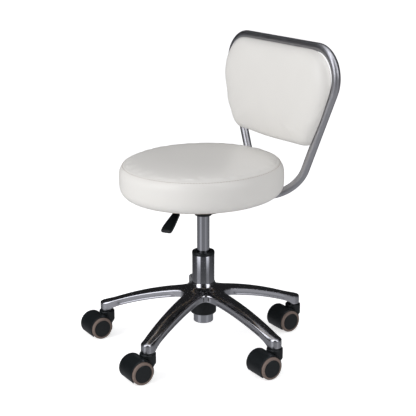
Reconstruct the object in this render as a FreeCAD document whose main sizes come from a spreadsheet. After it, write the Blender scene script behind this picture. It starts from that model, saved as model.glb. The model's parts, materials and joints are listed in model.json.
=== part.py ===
"""Rolling stylist stool: five-legged base on casters, gas lift, round seat and small backrest.

Frame: millimetres, +Z up, origin on the floor on the column axis.  The sitter faces -Y and
+X is the sitter's left.  Everything above the gas spring is drawn in the seat frame, whose
origin is on the column axis at the underside of the seat board and which is pitched forward.
"""
import FreeCAD, Part
import math
import os
import re
import Sketcher

Vector = FreeCAD.Vector
Rotation = FreeCAD.Rotation
Placement = FreeCAD.Placement

# Driving dimensions in millimetres and degrees.
SIZES = {
    # base
    "leg_count": 5,
    "stem_circle_radius": 229,
    "first_leg_angle": 9.1,
    "boss_bottom": 57.2,
    "boss_radius": 15.5,
    "leg_tip_top": 80,
    "leg_root_top": 131,
    "leg_arch_rise": 9,
    "leg_tip_half_width": 14.5,
    "leg_root_half_width": 21,
    "leg_depth": 17,
    "leg_wall": 4,
    "leg_edge_chamfer": 4,
    "leg_draft": 1.5,
    "hub_bottom": 71,
    "hub_skirt_bottom": 111,
    "hub_skirt_radius": 41,
    "hub_socket_radius": 29,
    "hub_top": 150,
    "hub_lip": 1.5,
    "hub_flare": 7,
    # gas spring
    "column_bottom": 51,
    "column_top": 209,
    "column_radius": 25,
    "column_wall": 2,
    "column_end_radius": 22.3,
    "column_end_wall": 2.8,
    "column_floor": 4,
    "cap_height": 8,
    "cap_overhang": 0.3,
    "cylinder_radius": 14,
    "cylinder_wall": 2,
    "cylinder_bottom": 141,
    "cylinder_top": 334,
    "cylinder_end": 8,
    "bush_length": 92,
    "rod_radius": 5,
    "piston_height": 10,
    "bearing_height": 5,
    "bearing_radius": 13,
    "clip_radius": 10,
    "clip_thickness": 2,
    "clip_groove": 1,
    "valve_pin_radius": 3,
    "valve_pin_height": 337.2,
    "fixed_gap": 0.05,
    "running_gap": 0.05,
    # casters
    "wheel_radius": 25,
    "wheel_trail": 27.6,
    "wheel_outer_face": 32,
    "wheel_inner_face": 7,
    "disc_radius": 19.4,
    "axle_radius": 3,
    "axle_half_length": 24,
    "hood_radius": 27.6,
    "hood_half_width": 27,
    "hood_web": 5,
    "hood_clearance": 0.9,
    "hood_edge_round": 1.4,
    "hood_low_angle": 218,
    "hood_top": 56,
    "hood_foot": 17,
    "axle_cover": 9,
    "neck_straight": 22,
    "neck_foot_radius": 8,
    "collar_round": 1.5,
    "collar_radius": 17.5,
    "stem_radius": 5.5,
    "stem_bottom": 30,
    "stem_top": 77,
    "stem_flange": 9,
    # mechanism and lever
    "seat_underside": 352,
    "seat_pitch": 1.4,
    "cover_thickness": 1,
    "plate_width": 150,
    "plate_length": 100,
    "plate_thickness": 3,
    "plate_corner": 12,
    "box_width": 50,
    "box_length": 47,
    "box_depth": 47,
    "box_wall": 2.5,
    "box_corner": 5,
    "socket_radius": 19,
    "socket_bottom": 300,
    "bolt_spacing_x": 120,
    "bolt_spacing_y": 76,
    "bolt_radius": 3,
    "bolt_head_radius": 6,
    "bolt_head_height": 4,
    "lever_bar_radius": 4,
    "lever_depth": 10.5,
    "lever_pivot_offset": 14,
    "lever_straight": 12,
    "lever_slot_half_width": 9,
    "lever_side": 36,
    "lever_reach": 88,
    "lever_drop": 22,
    "lever_bend_radius": 16,
    "paddle_bend_radius": 20,
    "paddle_heading": 59,
    "paddle_droop": 27,
    "paddle_grip_depth": 30,
    "pivot_pin_radius": 2.5,
    "paddle_length": 66,
    "paddle_width": 23,
    "paddle_thickness": 9,
    "paddle_round": 2,
    # seat
    "seat_radius": 182,
    "seat_shift": 3.5,
    "seat_height": 78.6,
    "seam_radius": 171,
    "seam_height": 64.5,
    "board_radius": 165,
    "board_thickness": 12,
    "tee_flange_radius": 9,
    "tee_flange_thickness": 1.5,
    "tee_barrel_wall": 1.9,
    # backrest
    "tube_radius": 9.5,
    "tube_wall": 1.5,
    "tail_half_gap": 13.9,
    "tail_start": 43.4,
    "loop_foot_half_width": 82.2,
    "loop_foot_back": 193.3,
    "tube_drop": 17.7,
    "foot_bend_radius": 82,
    "loop_head_half_width": 232,
    "loop_head_back": 214.3,
    "loop_height": 330,
    "head_bend_radius": 65.2,
    "pad_bottom": 118,
    "pad_inset": 5,
    "pad_thickness": 24,
    "pad_top_corner": 60,
    "pad_bottom_corner": 24,
    "pad_edge_round": 11,
    "pad_board_margin": 9,
    "pad_board_thickness": 9,
    "pad_gap": 0.4,
    "top_lug_half_gap": 60,
    "side_lug_height": 165,
    "lug_start": 6,
    "lug_length": 22,
    "lug_width": 16,
    "lug_thickness": 2,
    "screw_radius": 2.2,
    "screw_length": 11,
}

CASTER_HEADINGS = (0, 0, 180, 0, 0)   # turn of each caster about its stem, leg by leg, in degrees

doc = FreeCAD.newDocument("stylist_stool")
sheet = doc.addObject("Spreadsheet::Sheet", "sizes")
for row, (alias, size) in enumerate(SIZES.items(), start=1):
    sheet.set(f"A{row}", alias)
    sheet.set(f"B{row}", str(size))
    sheet.setAlias(f"B{row}", alias)
doc.recompute()

parts = {}


def value(formula):
    """The number that a formula of sheet aliases gives."""
    return float(sheet.evalExpression(formula))


def bound(formula):
    """The formula with its aliases written as references to the sheet."""
    return re.sub(r"[a-z_]+", lambda word: "sizes." + word[0] if word[0] in SIZES else word[0], formula)


def bind(item, **formulas):
    """Bind properties of an object, such as Radius, to formulas."""
    for name, formula in formulas.items():
        item.setExpression(name, bound(formula))
    return item


def place(item, x="0", y="0", z="0", turn=Rotation()):
    """Put an object in the stool's frame."""
    item.Placement = Placement(Vector(value(x), value(y), value(z)), turn)
    for axis, formula in zip("xyz", (x, y, z)):
        item.setExpression("Placement.Base." + axis, bound(formula))
    return item


def place_on_seat(item, x="0", y="0", z="0", turn=Rotation()):
    """Put an object in the seat frame, which is pitched about X under the seat board."""
    pitch = Rotation(Vector(1, 0, 0), value("seat_pitch"))
    height = f"seat_underside + ({y}) * sin(seat_pitch) + ({z}) * cos(seat_pitch)"
    return place(item, x, f"({y}) * cos(seat_pitch) - ({z}) * sin(seat_pitch)", height, pitch * turn)


def keep(item, name):
    """Register an object as a sub-part, under the name of its file."""
    item.Label = name
    parts[name] = item
    return item


# ---------------------------------------------------------------- sketches and features

def new_body(name):
    return doc.addObject("PartDesign::Body", name)


def sketch_on(body, role, offset="0"):
    """A sketch on one of the body's own origin planes, moved along the plane's normal."""
    sketch = body.newObject("Sketcher::SketchObject", body.Name + "_sketch")
    plane = next(item for item in body.Origin.OriginFeatures if item.Role == role)
    sketch.AttachmentSupport = [(plane, "")]
    sketch.MapMode = "FlatFace"
    sketch.setExpression("AttachmentOffset.Base.z", bound(offset))
    return sketch


def pin_point(sketch, edge, end, x, y):
    """Fix a point of a sketch at a place given by two formulas."""
    for kind, axis, formula in (("DistanceX", -2, x), ("DistanceY", -1, y)):
        if formula == "0":
            sketch.addConstraint(Sketcher.Constraint("PointOnObject", edge, end, axis))
        else:
            index = sketch.addConstraint(Sketcher.Constraint(kind, -1, 1, edge, end, value(formula)))
            sketch.setExpression(f"Constraints[{index}]", bound(formula))


def draw_outline(sketch, corners):
    """A closed outline of straight lines, each corner a pair of formulas."""
    points = [Vector(value(x), value(y), 0) for x, y in corners]
    first = sketch.GeometryCount
    for start, end in zip(points, points[1:] + points[:1]):
        sketch.addGeometry(Part.LineSegment(start, end))
    for number, (x, y) in enumerate(corners):
        edge = first + number
        following = first + (number + 1) % len(corners)
        sketch.addConstraint(Sketcher.Constraint("Coincident", edge, 2, following, 1))
        pin_point(sketch, edge, 1, x, y)
    return sketch


def draw_rectangle(sketch, low_x, low_y, high_x, high_y):
    return draw_outline(sketch, [(low_x, low_y), (high_x, low_y), (high_x, high_y), (low_x, high_y)])


def draw_circle(sketch, radius, x="0", y="0"):
    """A circle whose radius and centre are formulas."""
    edge = sketch.addGeometry(Part.Circle(Vector(value(x), value(y), 0), Vector(0, 0, 1), value(radius)))
    index = sketch.addConstraint(Sketcher.Constraint("Radius", edge, value(radius)))
    sketch.setExpression(f"Constraints[{index}]", bound(radius))
    if x == "0" and y == "0":
        sketch.addConstraint(Sketcher.Constraint("Coincident", edge, 3, -1, 1))
    else:
        pin_point(sketch, edge, 3, x, y)
    return sketch


def pad(body, sketch, length, reversed_=False, midplane=False):
    feature = body.newObject("PartDesign::Pad", body.Name + "_pad")
    feature.Profile = sketch
    feature.Reversed = reversed_
    feature.Midplane = midplane
    return bind(feature, Length=length)


def pocket(body, sketch, length, reversed_=False):
    """A cut against the sketch's normal, or along it when reversed."""
    doc.recompute()
    before = body.Shape.Volume
    feature = body.newObject("PartDesign::Pocket", body.Name + "_pocket")
    feature.Profile = sketch
    feature.Reversed = reversed_
    bind(feature, Length=length)
    doc.recompute()
    if body.Shape.Volume >= before:
        raise ValueError(f"{body.Name}: a pocket cuts nothing")
    return feature


def revolve(body, sketch):
    feature = body.newObject("PartDesign::Revolution", body.Name + "_turn")
    feature.Profile = sketch
    feature.ReferenceAxis = (sketch, ["V_Axis"])
    feature.Angle = 360
    return feature


def turned(name, corners):
    """A body turned about its own Z axis from an outline of (radius, height) formulas."""
    body = new_body(name)
    revolve(body, draw_outline(sketch_on(body, "XZ_Plane"), corners))
    return keep(body, name)


def fillet(body, radius, chosen):
    """Round the edges of the body for which the test is true."""
    doc.recompute()
    base = body.Tip
    names = [f"Edge{n}" for n, edge in enumerate(base.Shape.Edges, start=1) if chosen(edge)]
    if not names:
        raise ValueError(f"{body.Name}: no edge to round")
    feature = body.newObject("PartDesign::Fillet", body.Name + "_fillet")
    feature.Base = (base, names)
    return bind(feature, Radius=radius)


def cylinder(radius, height, x="0", y="0", z="0", turn=Rotation()):
    """A Part cylinder whose sizes and place are formulas."""
    return place(bind(doc.addObject("Part::Cylinder"), Radius=radius, Height=height), x, y, z, turn)


def fuse(*shapes):
    item = doc.addObject("Part::MultiFuse")
    item.Shapes = list(shapes)
    return item


def cut(base, tool):
    item = doc.addObject("Part::Cut")
    item.Base = base
    item.Tool = tool
    return item


def group(name, items):
    """Several separate solids as one sub-part."""
    item = doc.addObject("Part::Compound")
    item.Links = items
    return keep(item, name)


def rounded_path(name, points, radii):
    """A wire of straight runs joined by tangent arcs, one radius for each inner point."""
    edges = []
    start = points[0]
    for before, corner, after, radius in zip(points, points[1:], points[2:], radii):
        inward = (before - corner).normalize()
        outward = (after - corner).normalize()
        half = inward.getAngle(outward) / 2
        reach = radius / math.tan(half)
        middle = corner + (inward + outward).normalize() * (radius / math.sin(half) - radius)
        edges.append(Part.LineSegment(start, corner + inward * reach).toShape())
        edges.append(Part.Arc(corner + inward * reach, middle, corner + outward * reach).toShape())
        start = corner + outward * reach
    edges.append(Part.LineSegment(start, points[-1]).toShape())
    path = doc.addObject("Part::Feature", name)
    path.Shape = Part.Wire(edges)
    return path


def swept(path, radius):
    """A round bar along a path."""
    first = path.Shape.Edges[0]
    start = first.valueAt(first.FirstParameter)
    along = first.tangentAt(first.FirstParameter)
    ring = place(bind(doc.addObject("Part::Circle"), Radius=radius))
    ring.Placement = Placement(start, Rotation(Vector(0, 0, 1), along))
    for axis in "xyz":
        ring.setExpression("Placement.Base." + axis, None)
    item = doc.addObject("Part::Sweep")
    item.Sections = [ring]
    item.Spine = (path, [f"Edge{n}" for n in range(1, len(path.Shape.Edges) + 1)])
    item.Solid = True
    return item


# ---------------------------------------------------------------- base

LEG_START = "22"                                 # where the first section stands, inside the hub
OUTER_STATIONS = ("0", "0.25", "0.5", "0.75", "1")   # shares of the way from there to the caster stem
CAVITY_STATIONS = ("0.15", "0.4", "0.65", "0.88")


def leg_section(body, share, role, inset="0"):
    """One cross-section of a leg, at a share of the way from the hub to the caster stem.

    The top falls in a straight line plus an arch; the cavity's section is inset by the wall.
    """
    station = f"{LEG_START} + {share} * (stem_circle_radius - {LEG_START})"
    top = (f"leg_root_top + {share} * (leg_tip_top - leg_root_top)"
           f" + 4 * leg_arch_rise * {share} * (1 - {share}) - {inset}")
    half = f"leg_root_half_width + {share} * (leg_tip_half_width - leg_root_half_width) - {inset}"
    low = f"{top} + {inset} - leg_depth"
    sketch = sketch_on(body, "YZ_Plane", station)
    if role == "wall":
        shoulder = f"{top} - leg_edge_chamfer"
        return draw_outline(sketch, [
            (f"-({half}) - leg_draft", low), (f"{half} + leg_draft", low), (half, shoulder),
            (f"{half} - leg_edge_chamfer", top), (f"leg_edge_chamfer - ({half})", top),
            (f"-({half})", shoulder)])
    return draw_outline(sketch, [
        (f"-({half}) - 1", f"{low} - 2"), (f"{half} + 1", f"{low} - 2"),
        (f"{half} - 1", top), (f"1 - ({half})", top)])


def loft(body, kind, sketches):
    feature = body.newObject("PartDesign::" + kind, body.Name + "_loft")
    feature.Profile = sketches[0]
    feature.Sections = sketches[1:]
    return feature


def make_star_base():
    """Five arched channel legs, each ending in a stem boss, around a turned hub."""
    body = new_body("star_base")
    outer = loft(body, "AdditiveLoft", [leg_section(body, share, "wall") for share in OUTER_STATIONS])
    doc.recompute()
    cavity = loft(body, "SubtractiveLoft",
                  [leg_section(body, share, "cavity", "leg_wall") for share in CAVITY_STATIONS])
    doc.recompute()
    boss_circle = draw_circle(sketch_on(body, "XY_Plane", "boss_bottom"), "boss_radius", "stem_circle_radius")
    boss = pad(body, boss_circle, "leg_tip_top - boss_bottom")
    hole = pocket(body, draw_circle(sketch_on(body, "XY_Plane", "boss_bottom"), "stem_radius + fixed_gap",
                                    "stem_circle_radius"),
                  "stem_top + fixed_gap - boss_bottom", reversed_=True)
    legs = body.newObject("PartDesign::PolarPattern", "legs")
    legs.Originals = [outer, cavity, boss, hole]
    turn_axis = next(item for item in body.Origin.OriginFeatures if item.Role == "Z_Axis")
    legs.Axis = (turn_axis, [""])
    legs.Angle = 360
    bind(legs, Occurrences="leg_count")
    body.Tip = legs
    doc.recompute()
    revolve(body, draw_outline(sketch_on(body, "XZ_Plane"), [
        ("column_radius + fixed_gap", "hub_skirt_bottom - 8"),
        ("hub_skirt_radius - leg_wall", "hub_skirt_bottom"),
        ("hub_skirt_radius", "hub_skirt_bottom"),
        ("hub_skirt_radius", "leg_root_top - 6"),
        ("hub_skirt_radius - 4", "leg_root_top + 1"),
        ("column_radius + hub_flare", "leg_root_top + hub_flare - 1"),
        ("column_radius + hub_flare / 2", "leg_root_top + 2 * hub_flare - 2"),
        ("column_radius + hub_lip", "hub_top"),
        ("column_radius + fixed_gap", "hub_top")]))
    socket = revolve(body, draw_outline(sketch_on(body, "XZ_Plane"), [
        ("column_end_radius + fixed_gap", "hub_bottom"),
        ("hub_socket_radius", "hub_bottom"),
        ("hub_socket_radius + 2", "hub_skirt_bottom + 10"),
        ("column_end_radius + fixed_gap", "hub_skirt_bottom + 10")]))
    doc.recompute()
    pocket(body, draw_circle(sketch_on(body, "XY_Plane", "hub_top + 1"), "column_radius + fixed_gap"),
           "hub_top - hub_bottom")
    place(keep(body, "star_base"), turn=Rotation(Vector(0, 0, 1), value("first_leg_angle")))


def leg_angle(number):
    """The heading of a leg, as a formula in degrees."""
    return f"(first_leg_angle + {number} * 360 / leg_count)"


def stem_place(number):
    """Formulas of a caster stem's place on the floor plan."""
    return f"stem_circle_radius * cos({leg_angle(number)})", f"stem_circle_radius * sin({leg_angle(number)})"


def make_caster_stems():
    """The stems, each a pin with a flange that the boss rests on."""
    stems = []
    for number in range(int(value("leg_count"))):
        x, y = stem_place(number)
        pin = cylinder("stem_radius", "stem_top - stem_bottom", x, y, "stem_bottom")
        flange = cylinder("stem_flange", "boss_bottom - hood_top - 0.4", x, y, "hood_top + 0.3")
        stems.append(fuse(pin, flange))
    group("caster_stems", stems)


# ---------------------------------------------------------------- gas spring

def make_gas_spring():
    """Outer tube, cap and bush on the base; rod, piston, bearing and clip; the lift cylinder."""
    floor_low = "column_bottom + column_floor"
    floor_high = "column_bottom + 2 * column_floor"
    end_bore = "column_end_radius - column_end_wall"
    shoulder = "hub_bottom + 1"
    turned("column_tube", [
        (end_bore, "column_bottom"), ("column_end_radius", "column_bottom"),
        ("column_end_radius", shoulder), ("column_radius", "hub_bottom + 7"),
        ("column_radius", "column_top"), ("column_radius - column_wall", "column_top"),
        ("column_radius - column_wall", "hub_bottom + 9"), (end_bore, f"{shoulder} + 2"),
        (end_bore, floor_high), ("rod_radius + running_gap", floor_high),
        ("rod_radius + running_gap", floor_low), (end_bore, floor_low)])
    bore = "column_radius - column_wall - fixed_gap"
    turned("column_cap", [
        ("cylinder_radius + 0.5", "column_top - 6"), (bore, "column_top - 6"), (bore, "column_top + 0.05"),
        ("column_radius + cap_overhang", "column_top + 0.05"),
        ("column_radius + cap_overhang", "column_top + cap_height - 1"),
        ("column_radius + cap_overhang - 1", "column_top + cap_height"),
        ("cylinder_radius + 1.5", "column_top + cap_height"),
        ("cylinder_radius + 0.5", "column_top + cap_height - 1")])
    bush_top = "column_top - 6.5"
    turned("guide_bush", [
        ("cylinder_radius + running_gap", f"{bush_top} - bush_length"), (bore, f"{bush_top} - bush_length"),
        (bore, bush_top), ("cylinder_radius + running_gap", bush_top)])
    groove = "rod_radius - clip_groove"
    clip_high = f"{floor_low} - 0.2"
    clip_low = f"{clip_high} - clip_thickness"
    turned("retaining_clip", [
        (groove, clip_low), ("clip_radius", clip_low), ("clip_radius", clip_high), (groove, clip_high)])
    turned("thrust_bearing", [
        ("rod_radius", f"{floor_high} + 0.1"), ("bearing_radius", f"{floor_high} + 0.1"),
        ("bearing_radius", f"{floor_high} + bearing_height"),
        ("rod_radius", f"{floor_high} + bearing_height")])
    seal_top = "cylinder_bottom + cylinder_end"
    piston_low = f"{seal_top} + 1"
    piston_high = f"{piston_low} + piston_height"
    turned("piston_rod", [
        ("0", "column_bottom"), ("rod_radius", "column_bottom"), ("rod_radius", clip_low), (groove, clip_low),
        (groove, clip_high), ("rod_radius", clip_high), ("rod_radius", f"{piston_high} + 2"),
        ("0", f"{piston_high} + 2")])
    turned("piston", [
        ("rod_radius", piston_low), ("cylinder_radius - cylinder_wall - running_gap", piston_low),
        ("cylinder_radius - cylinder_wall - running_gap", piston_high), ("rod_radius", piston_high)])
    bore = "cylinder_radius - cylinder_wall"
    turned("rod_seal", [
        ("rod_radius + running_gap", "cylinder_bottom"), (bore, "cylinder_bottom"), (bore, seal_top),
        ("rod_radius + running_gap", seal_top)])
    turned("lift_cylinder", [
        (bore, "cylinder_bottom"), ("cylinder_radius", "cylinder_bottom"), ("cylinder_radius", "cylinder_top"),
        ("valve_pin_radius + running_gap", "cylinder_top"),
        ("valve_pin_radius + running_gap", "cylinder_top - cylinder_end"),
        (bore, "cylinder_top - cylinder_end")])
    turned("valve_pin", [
        ("0", "cylinder_top - cylinder_end + 1"), ("valve_pin_radius", "cylinder_top - cylinder_end + 1"),
        ("valve_pin_radius", "valve_pin_height"), ("0", "valve_pin_height")])


# ---------------------------------------------------------------- casters

def make_hood(name):
    """A moulded hood: a drum-shaped fender over both wheels, a web between them and a neck on the stem."""
    body = new_body(name)
    axle_y = "-wheel_trail"
    half = value("hood_half_width")
    drum = draw_circle(sketch_on(body, "YZ_Plane"), "hood_radius", axle_y, "wheel_radius")
    pad(body, drum, "2 * hood_half_width", midplane=True)
    fillet(body, "hood_edge_round", lambda edge: abs(abs(edge.CenterOfMass.x) - half) < 0.01)
    revolve(body, draw_outline(sketch_on(body, "XZ_Plane"), [
        ("0", "hood_foot"), ("neck_foot_radius", "hood_foot"), ("collar_radius", "hood_top - neck_straight"),
        ("collar_radius", "hood_top"), ("0", "hood_top")]))
    fillet(body, "collar_round", lambda edge: all(abs(v.Z - value("hood_top")) < 0.01 for v in edge.Vertexes))
    for offset, reversed_ in (("hood_web", True), ("-hood_web", False)):
        sketch = sketch_on(body, "YZ_Plane", offset)
        draw_circle(sketch, "wheel_radius + hood_clearance", axle_y, "wheel_radius")
        pocket(body, sketch, "hood_half_width", reversed_)
    below = sketch_on(body, "YZ_Plane", "-hood_half_width - 1")
    rim_y, rim_z = (f"{axle_y} + {{0}} * cos(hood_low_angle)", "wheel_radius + {0} * sin(hood_low_angle)")
    outside = "1.5 * hood_radius"
    draw_outline(below, [
        (rim_y.format("axle_cover"), rim_z.format("axle_cover")),
        (rim_y.format(outside), rim_z.format(outside)), (rim_y.format(outside), "-hood_radius"),
        ("collar_radius", "-hood_radius"),
        ("collar_radius", "hood_foot - 0.5"), ("-neck_foot_radius", "hood_foot - 0.5")])
    pocket(body, below, "2 * hood_half_width + 2", reversed_=True)
    pocket(body, draw_circle(sketch_on(body, "XY_Plane", "hood_top"), "stem_radius + running_gap"),
           "hood_top + 1 - stem_bottom")
    axle_hole = draw_circle(sketch_on(body, "YZ_Plane", "-hood_web"), "axle_radius + 0.02", axle_y,
                            "wheel_radius")
    pocket(body, axle_hole, "2 * hood_web", reversed_=True)
    return keep(body, name)


def make_caster(number):
    """Hood, axle and two independent twin wheels with soft tyres, trailing behind the stem."""
    name = f"caster_{number + 1}_"
    heading = CASTER_HEADINGS[number]
    turn = Rotation(Vector(0, 0, 1), heading)
    x, y = stem_place(number)
    behind = f"{y} - wheel_trail * cos({heading})"
    place(make_hood(name + "hood"), x, y, turn=turn)
    axle = turned(name + "axle", [("0", "-axle_half_length"), ("axle_radius", "-axle_half_length"),
                                  ("axle_radius", "axle_half_length"), ("0", "axle_half_length")])
    place(axle, x, behind, "wheel_radius", turn * Rotation(Vector(0, 1, 0), 90))
    for side, quarter in (("left", 90), ("right", -90)):
        outward = turn * Rotation(Vector(0, 1, 0), quarter)
        wheel = turned(f"{name}wheel_{side}", [
            ("0", "axle_half_length + 0.5"), ("axle_radius + running_gap", "axle_half_length + 0.5"),
            ("axle_radius + running_gap", "wheel_inner_face"),
            ("disc_radius", "wheel_inner_face"), ("disc_radius", "wheel_outer_face - 1"),
            ("disc_radius - 1.2", "wheel_outer_face"), ("0", "wheel_outer_face + 0.5")])
        tyre = turned(f"{name}tyre_{side}", [
            ("disc_radius", "wheel_inner_face + 2"), ("wheel_radius - 1", "wheel_inner_face + 2"),
            ("wheel_radius", "wheel_inner_face + 3"), ("wheel_radius", "wheel_outer_face - 4"),
            ("wheel_radius - 0.8", "wheel_outer_face - 2"), ("wheel_radius - 2.2", "wheel_outer_face - 0.5"),
            ("disc_radius + 1", "wheel_outer_face - 0.2"), ("disc_radius", "wheel_outer_face - 1")])
        for piece in (wheel, tyre):
            place(piece, x, behind, "wheel_radius", outward)


# ---------------------------------------------------------------- mechanism and lever

def make_mechanism():
    """Pressed steel housing under the seat with the taper socket that takes the cylinder."""
    body = new_body("mechanism_housing")
    top = "-cover_thickness"
    under = "-cover_thickness - plate_thickness"
    half_x, half_y = "box_width / 2", "box_length / 2"
    pad(body, draw_rectangle(sketch_on(body, "XY_Plane", under), "-plate_width / 2", "-plate_length / 2",
                             "plate_width / 2", "plate_length / 2"), "plate_thickness")
    fillet(body, "plate_corner", lambda edge: abs(edge.tangentAt(edge.FirstParameter).z) > 0.99)
    pad(body, draw_rectangle(sketch_on(body, "XY_Plane", under), f"-{half_x}", f"-{half_y}", half_x, half_y),
        "box_depth - cover_thickness - plate_thickness", reversed_=True)
    fillet(body, "box_corner", lambda edge: abs(edge.tangentAt(edge.FirstParameter).z) > 0.99
           and abs(edge.CenterOfMass.x) < value("box_width / 2 + 1"))
    inside = draw_rectangle(sketch_on(body, "XY_Plane", top), f"box_wall - {half_x}", f"box_wall - {half_y}",
                            f"{half_x} - box_wall", f"{half_y} - box_wall")
    pocket(body, inside, "box_depth - cover_thickness - box_wall")
    pocket(body, draw_circle(sketch_on(body, "XY_Plane", "-box_depth"), "socket_radius + fixed_gap", "0",
                             "-box_depth * sin(seat_pitch)"), "box_wall + 1", reversed_=True)
    holes = sketch_on(body, "XY_Plane", top)
    for x, y in bolt_corners():
        draw_circle(holes, "bolt_radius + 0.3", x, y)
    pocket(body, holes, "plate_thickness")
    slot = draw_rectangle(sketch_on(body, "XZ_Plane", "box_length / 2 - box_wall - 1"),
                          "-lever_slot_half_width", "-lever_depth - lever_bar_radius - 6",
                          "lever_slot_half_width", f"{under} - 0.5")
    pocket(body, slot, "box_wall + 2", reversed_=True)
    side = sketch_on(body, "YZ_Plane", "-box_width / 2 - 1")
    draw_circle(side, "pivot_pin_radius + fixed_gap", "-lever_pivot_offset", "-lever_depth")
    pocket(body, side, "box_width + 2", reversed_=True)
    place_on_seat(keep(body, "mechanism_housing"))
    socket = turned("taper_socket", [
        ("cylinder_radius + 0.02", "socket_bottom"), ("socket_radius", "socket_bottom"),
        ("socket_radius", "cylinder_top - 1"), ("cylinder_radius + 0.02", "cylinder_top - 1")])
    place(socket)


def bolt_corners():
    """Formulas of the four mechanism bolts' places in the seat frame."""
    x, y = "bolt_spacing_x / 2", "bolt_spacing_y / 2"
    return [(x, y), (f"-{x}", y), (f"-{x}", f"-{y}"), (x, f"-{y}")]


def headed_bolt(x, y, head_top, tip):
    """A bolt that stands on its head, at a place in the seat frame."""
    shank = cylinder("bolt_radius", f"{tip} - ({head_top})", x, y, head_top)
    head = cylinder("bolt_head_radius", "bolt_head_height", x, y, f"{head_top} - bolt_head_height")
    return fuse(shank, head)


def make_mechanism_bolts():
    """Bolts that hold the housing's plate to the seat board."""
    under = "-cover_thickness - plate_thickness - 0.02"
    bolts = [headed_bolt(x, y, under, "board_thickness - 1") for x, y in bolt_corners()]
    place_on_seat(group("mechanism_bolts", bolts))


def lever_points():
    """The lever bar's path in the seat frame, from over the valve pin to inside the paddle."""
    depth = -value("lever_depth")
    front = -value("box_length / 2 + lever_straight")
    root = Vector(value("lever_side"), -value("lever_reach"), -value("lever_drop"))
    heading, droop = (math.radians(value(angle)) for angle in ("paddle_heading", "paddle_droop"))
    level = math.cos(droop)
    outward = Vector(math.cos(heading) * level, -math.sin(heading) * level, -math.sin(droop))
    return [Vector(0, 6, depth), Vector(0, front, depth), root, root + outward * value("paddle_grip_depth")]


def make_lever():
    """Lever bar on its pivot pin, with a drooping moulded paddle on the end."""
    points = lever_points()
    radii = (value("lever_bend_radius"), value("paddle_bend_radius"))
    bar = swept(rounded_path("lever_path", points, radii), "lever_bar_radius")
    along_x = Rotation(Vector(0, 1, 0), 90)
    pivot = ("-lever_pivot_offset", "-lever_depth")
    hub = cylinder("lever_bar_radius + 2", "14", "-7", *pivot, turn=along_x)
    hole = cylinder("pivot_pin_radius + running_gap", "20", "-10", *pivot, turn=along_x)
    place_on_seat(keep(cut(fuse(bar, hub), hole), "lever_arm"))
    pin = cylinder("pivot_pin_radius", "box_width + 2", "-box_width / 2 - 1", "0", "0", turn=along_x)
    pin_group = group("lever_pivot_pin", [pin])
    place_on_seat(pin_group, y=pivot[0], z=pivot[1])
    body = new_body("lever_paddle")
    half = "paddle_width / 2"
    outline = draw_outline(sketch_on(body, "XY_Plane", "-paddle_thickness / 2"), [
        ("0", f"4 - {half}"), ("paddle_length - 6", f"-{half}"), ("paddle_length", f"6 - {half}"),
        ("paddle_length", f"{half} - 6"), ("paddle_length - 6", half), ("0", f"{half} - 4")])
    pad(body, outline, "paddle_thickness")
    face = value("paddle_thickness / 2")
    fillet(body, "paddle_round", lambda edge: abs(abs(edge.CenterOfMass.z) - face) < 0.01)
    along = (points[-1] - points[-2]).normalize()
    across = Vector(0, 0, 1).cross(along).normalize()
    basis = Rotation(along, across, along.cross(across), "XYZ")
    start = points[-2] + along * 3
    grip_hole = draw_circle(sketch_on(body, "YZ_Plane"), "lever_bar_radius + 0.02")
    pocket(body, grip_hole, str((points[-1] - start).Length), reversed_=True)
    keep(body, "lever_paddle")
    place_on_seat(body, str(start.x), str(start.y), str(start.z), basis)


# ---------------------------------------------------------------- seat

def make_seat():
    """Plywood board, tee nuts, dust cover and the crowned round cushion around them."""
    recess = "board_thickness + 3"
    cushion = turned("seat_cushion", [
        ("0", recess), ("board_radius + 0.3", recess), ("board_radius + 0.3", "0"),
        ("seat_radius - 11", "0"), ("seat_radius - 3.5", "7"), ("seat_radius", "20"), ("seat_radius", "38"),
        ("seat_radius - 3.5", "seam_height - 12"), ("seam_radius", "seam_height"),
        ("seam_radius - 20", "seat_height - 6"), ("seam_radius / 2", "seat_height - 1"), ("0", "seat_height")])
    place_on_seat(cushion, y="-seat_shift")
    cover = new_body("dust_cover")
    face = sketch_on(cover, "XY_Plane", "-cover_thickness")
    pad(cover, draw_circle(face, "board_radius + 2"), "cover_thickness - 0.02")
    board = new_body("seat_board")
    pad(board, draw_circle(sketch_on(board, "XY_Plane"), "board_radius"), "board_thickness")
    spots = [(x, f"({y}) + seat_shift") for x, y in bolt_corners()]
    spots += [(str(round(x, 3)), f"{round(y, 3)} + seat_shift") for x, y in tail_bolt_spots()]
    for body, radius in ((cover, "bolt_radius + 0.3"), (board, "bolt_radius + 2")):
        doc.recompute()
        holes = sketch_on(body, "XY_Plane", "board_thickness" if body is board else "0")
        for x, y in spots:
            draw_circle(holes, radius, x, y)
        pocket(body, holes, "board_thickness" if body is board else "cover_thickness + 1")
        place_on_seat(keep(body, body.Name), y="-seat_shift")
    nuts = []
    for x, y in spots:
        flange = cylinder("tee_flange_radius", "tee_flange_thickness", x, y, "board_thickness + 0.02")
        barrel = cylinder("bolt_radius + tee_barrel_wall", "board_thickness - 2.5", x, y, "3")
        bore = cylinder("bolt_radius + 0.02", "board_thickness + 8", x, y, "0")
        nuts.append(cut(fuse(flange, barrel), bore))
    place_on_seat(group("seat_tee_nuts", nuts), y="-seat_shift")


# ---------------------------------------------------------------- backrest

def loop_points():
    """Corner points of the backrest tube's centreline in the seat frame."""
    drop = -value("tube_drop")
    tail = (value("tail_half_gap"), value("tail_start"), drop)
    foot = (value("loop_foot_half_width"), value("loop_foot_back"), drop)
    head = (value("loop_head_half_width"), value("loop_head_back"), drop + value("loop_height"))
    near = [Vector(*tail), Vector(*foot), Vector(*head)]
    return [Vector(-p.x, p.y, p.z) for p in near] + near[::-1]


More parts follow.
